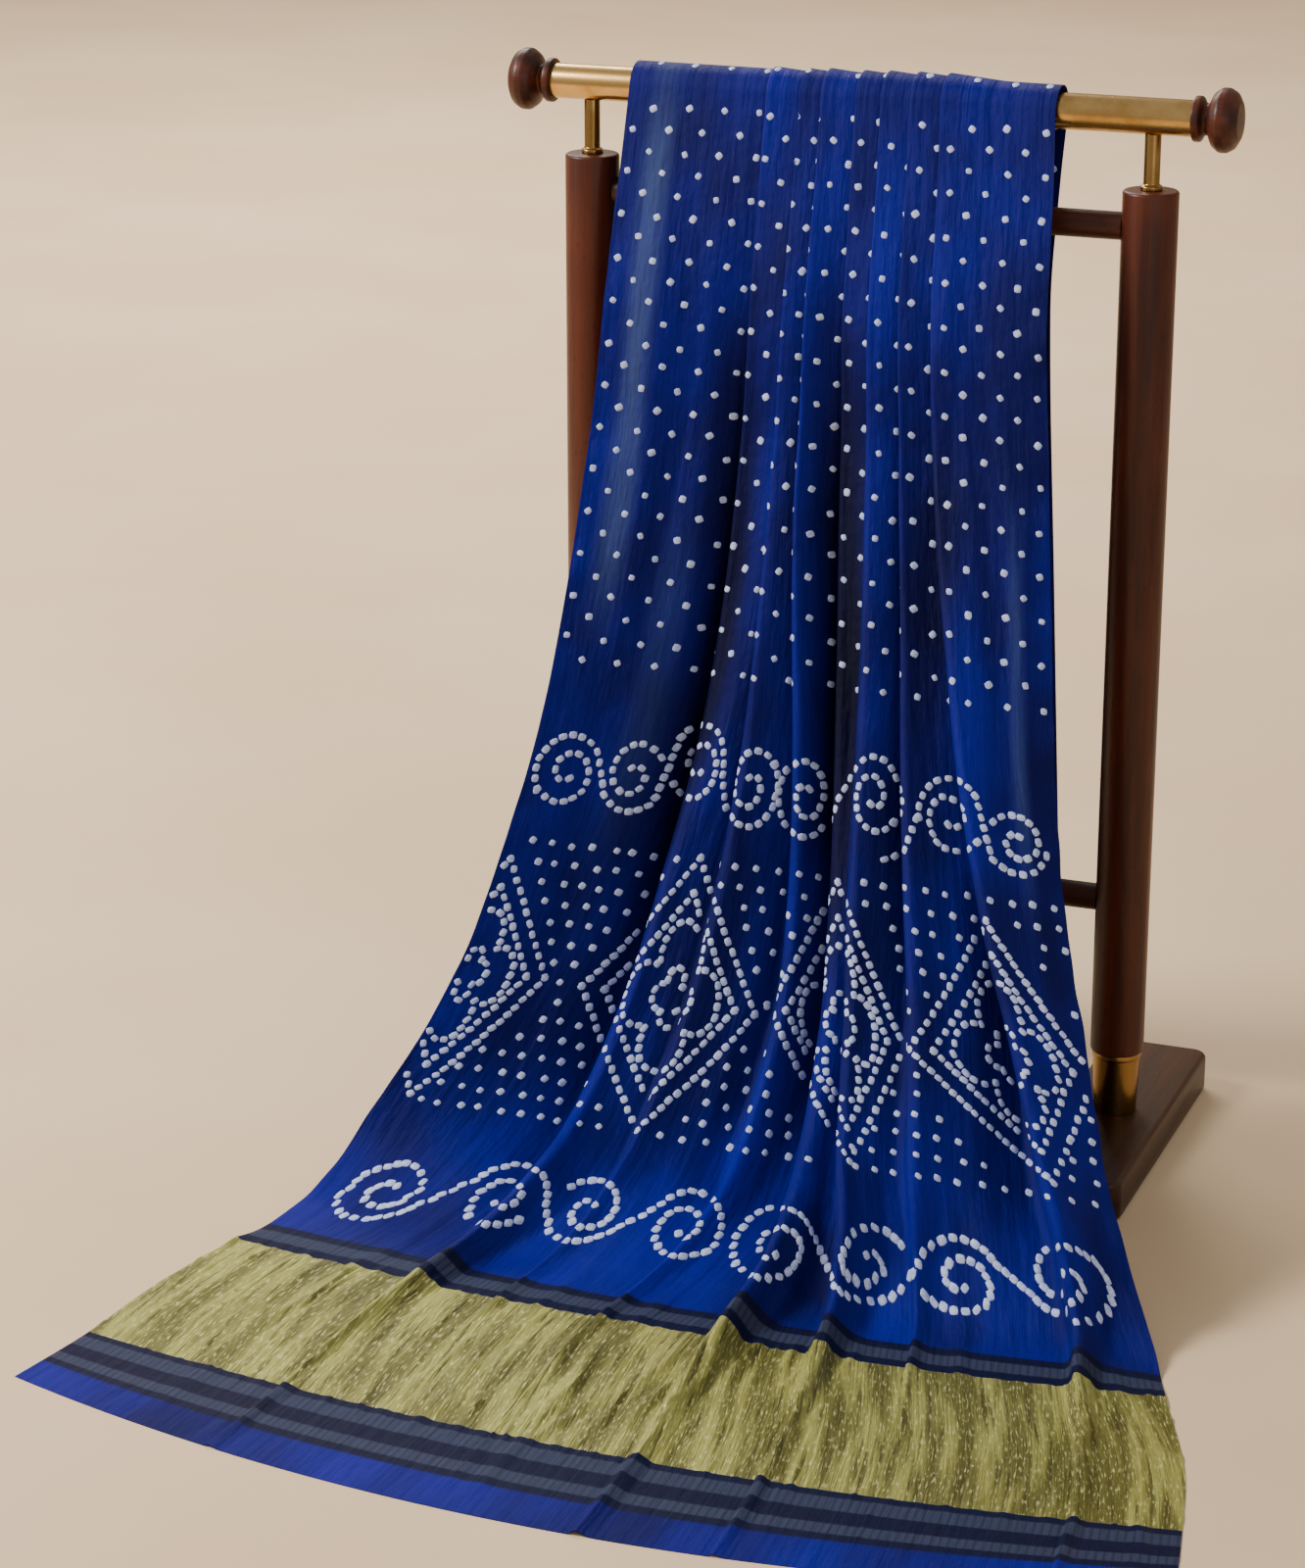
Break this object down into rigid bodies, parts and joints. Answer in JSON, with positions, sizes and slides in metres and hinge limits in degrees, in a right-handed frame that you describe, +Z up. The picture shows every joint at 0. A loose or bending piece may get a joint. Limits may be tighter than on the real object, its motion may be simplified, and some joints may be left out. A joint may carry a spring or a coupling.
{
  "type": "printed saree draped over a wooden display stand",
  "caption": "Blue tie-dyed saree with a woven gold band, draped in pleats over a brass rail on round wooden posts, its end swept forward over the floor.",
  "frame": {"origin": "on the floor, under the middle of the whole object's box", "axes": "+Z up, +X along the rail to the right as seen from the front, -Y towards the spread end of the cloth"},
  "size_m": [1.092, 1.151, 1.1042],
  "materials": {
    "saree_silk": "soft silk sheen, tie-dyed dots",
    "zari_weave": "crinkled woven metallic thread",
    "border_weave": "plain weave with grey stripes",
    "aged_brass": "satin, lightly aged",
    "dark_wood": "stained, low sheen"
  },
  "bodies": {
    "root": {"saree_back_fall": "saree_silk", "saree_over_rail": "saree_silk", "saree_body_front": "saree_silk", "saree_pallu": "saree_silk", "saree_zari_band": "zari_weave", "saree_end_border": "border_weave", "brass_rail": "aged_brass", "finial_left": "dark_wood", "finial_right": "dark_wood", "pin_left": "aged_brass", "pin_right": "aged_brass", "post_left": "dark_wood", "post_right": "dark_wood", "ferrule_left": "aged_brass", "ferrule_right": "aged_brass", "cross_rail_upper": "dark_wood", "cross_rail_lower": "dark_wood", "foot_left": "dark_wood", "foot_right": "dark_wood"}
  },
  "joints": []
}
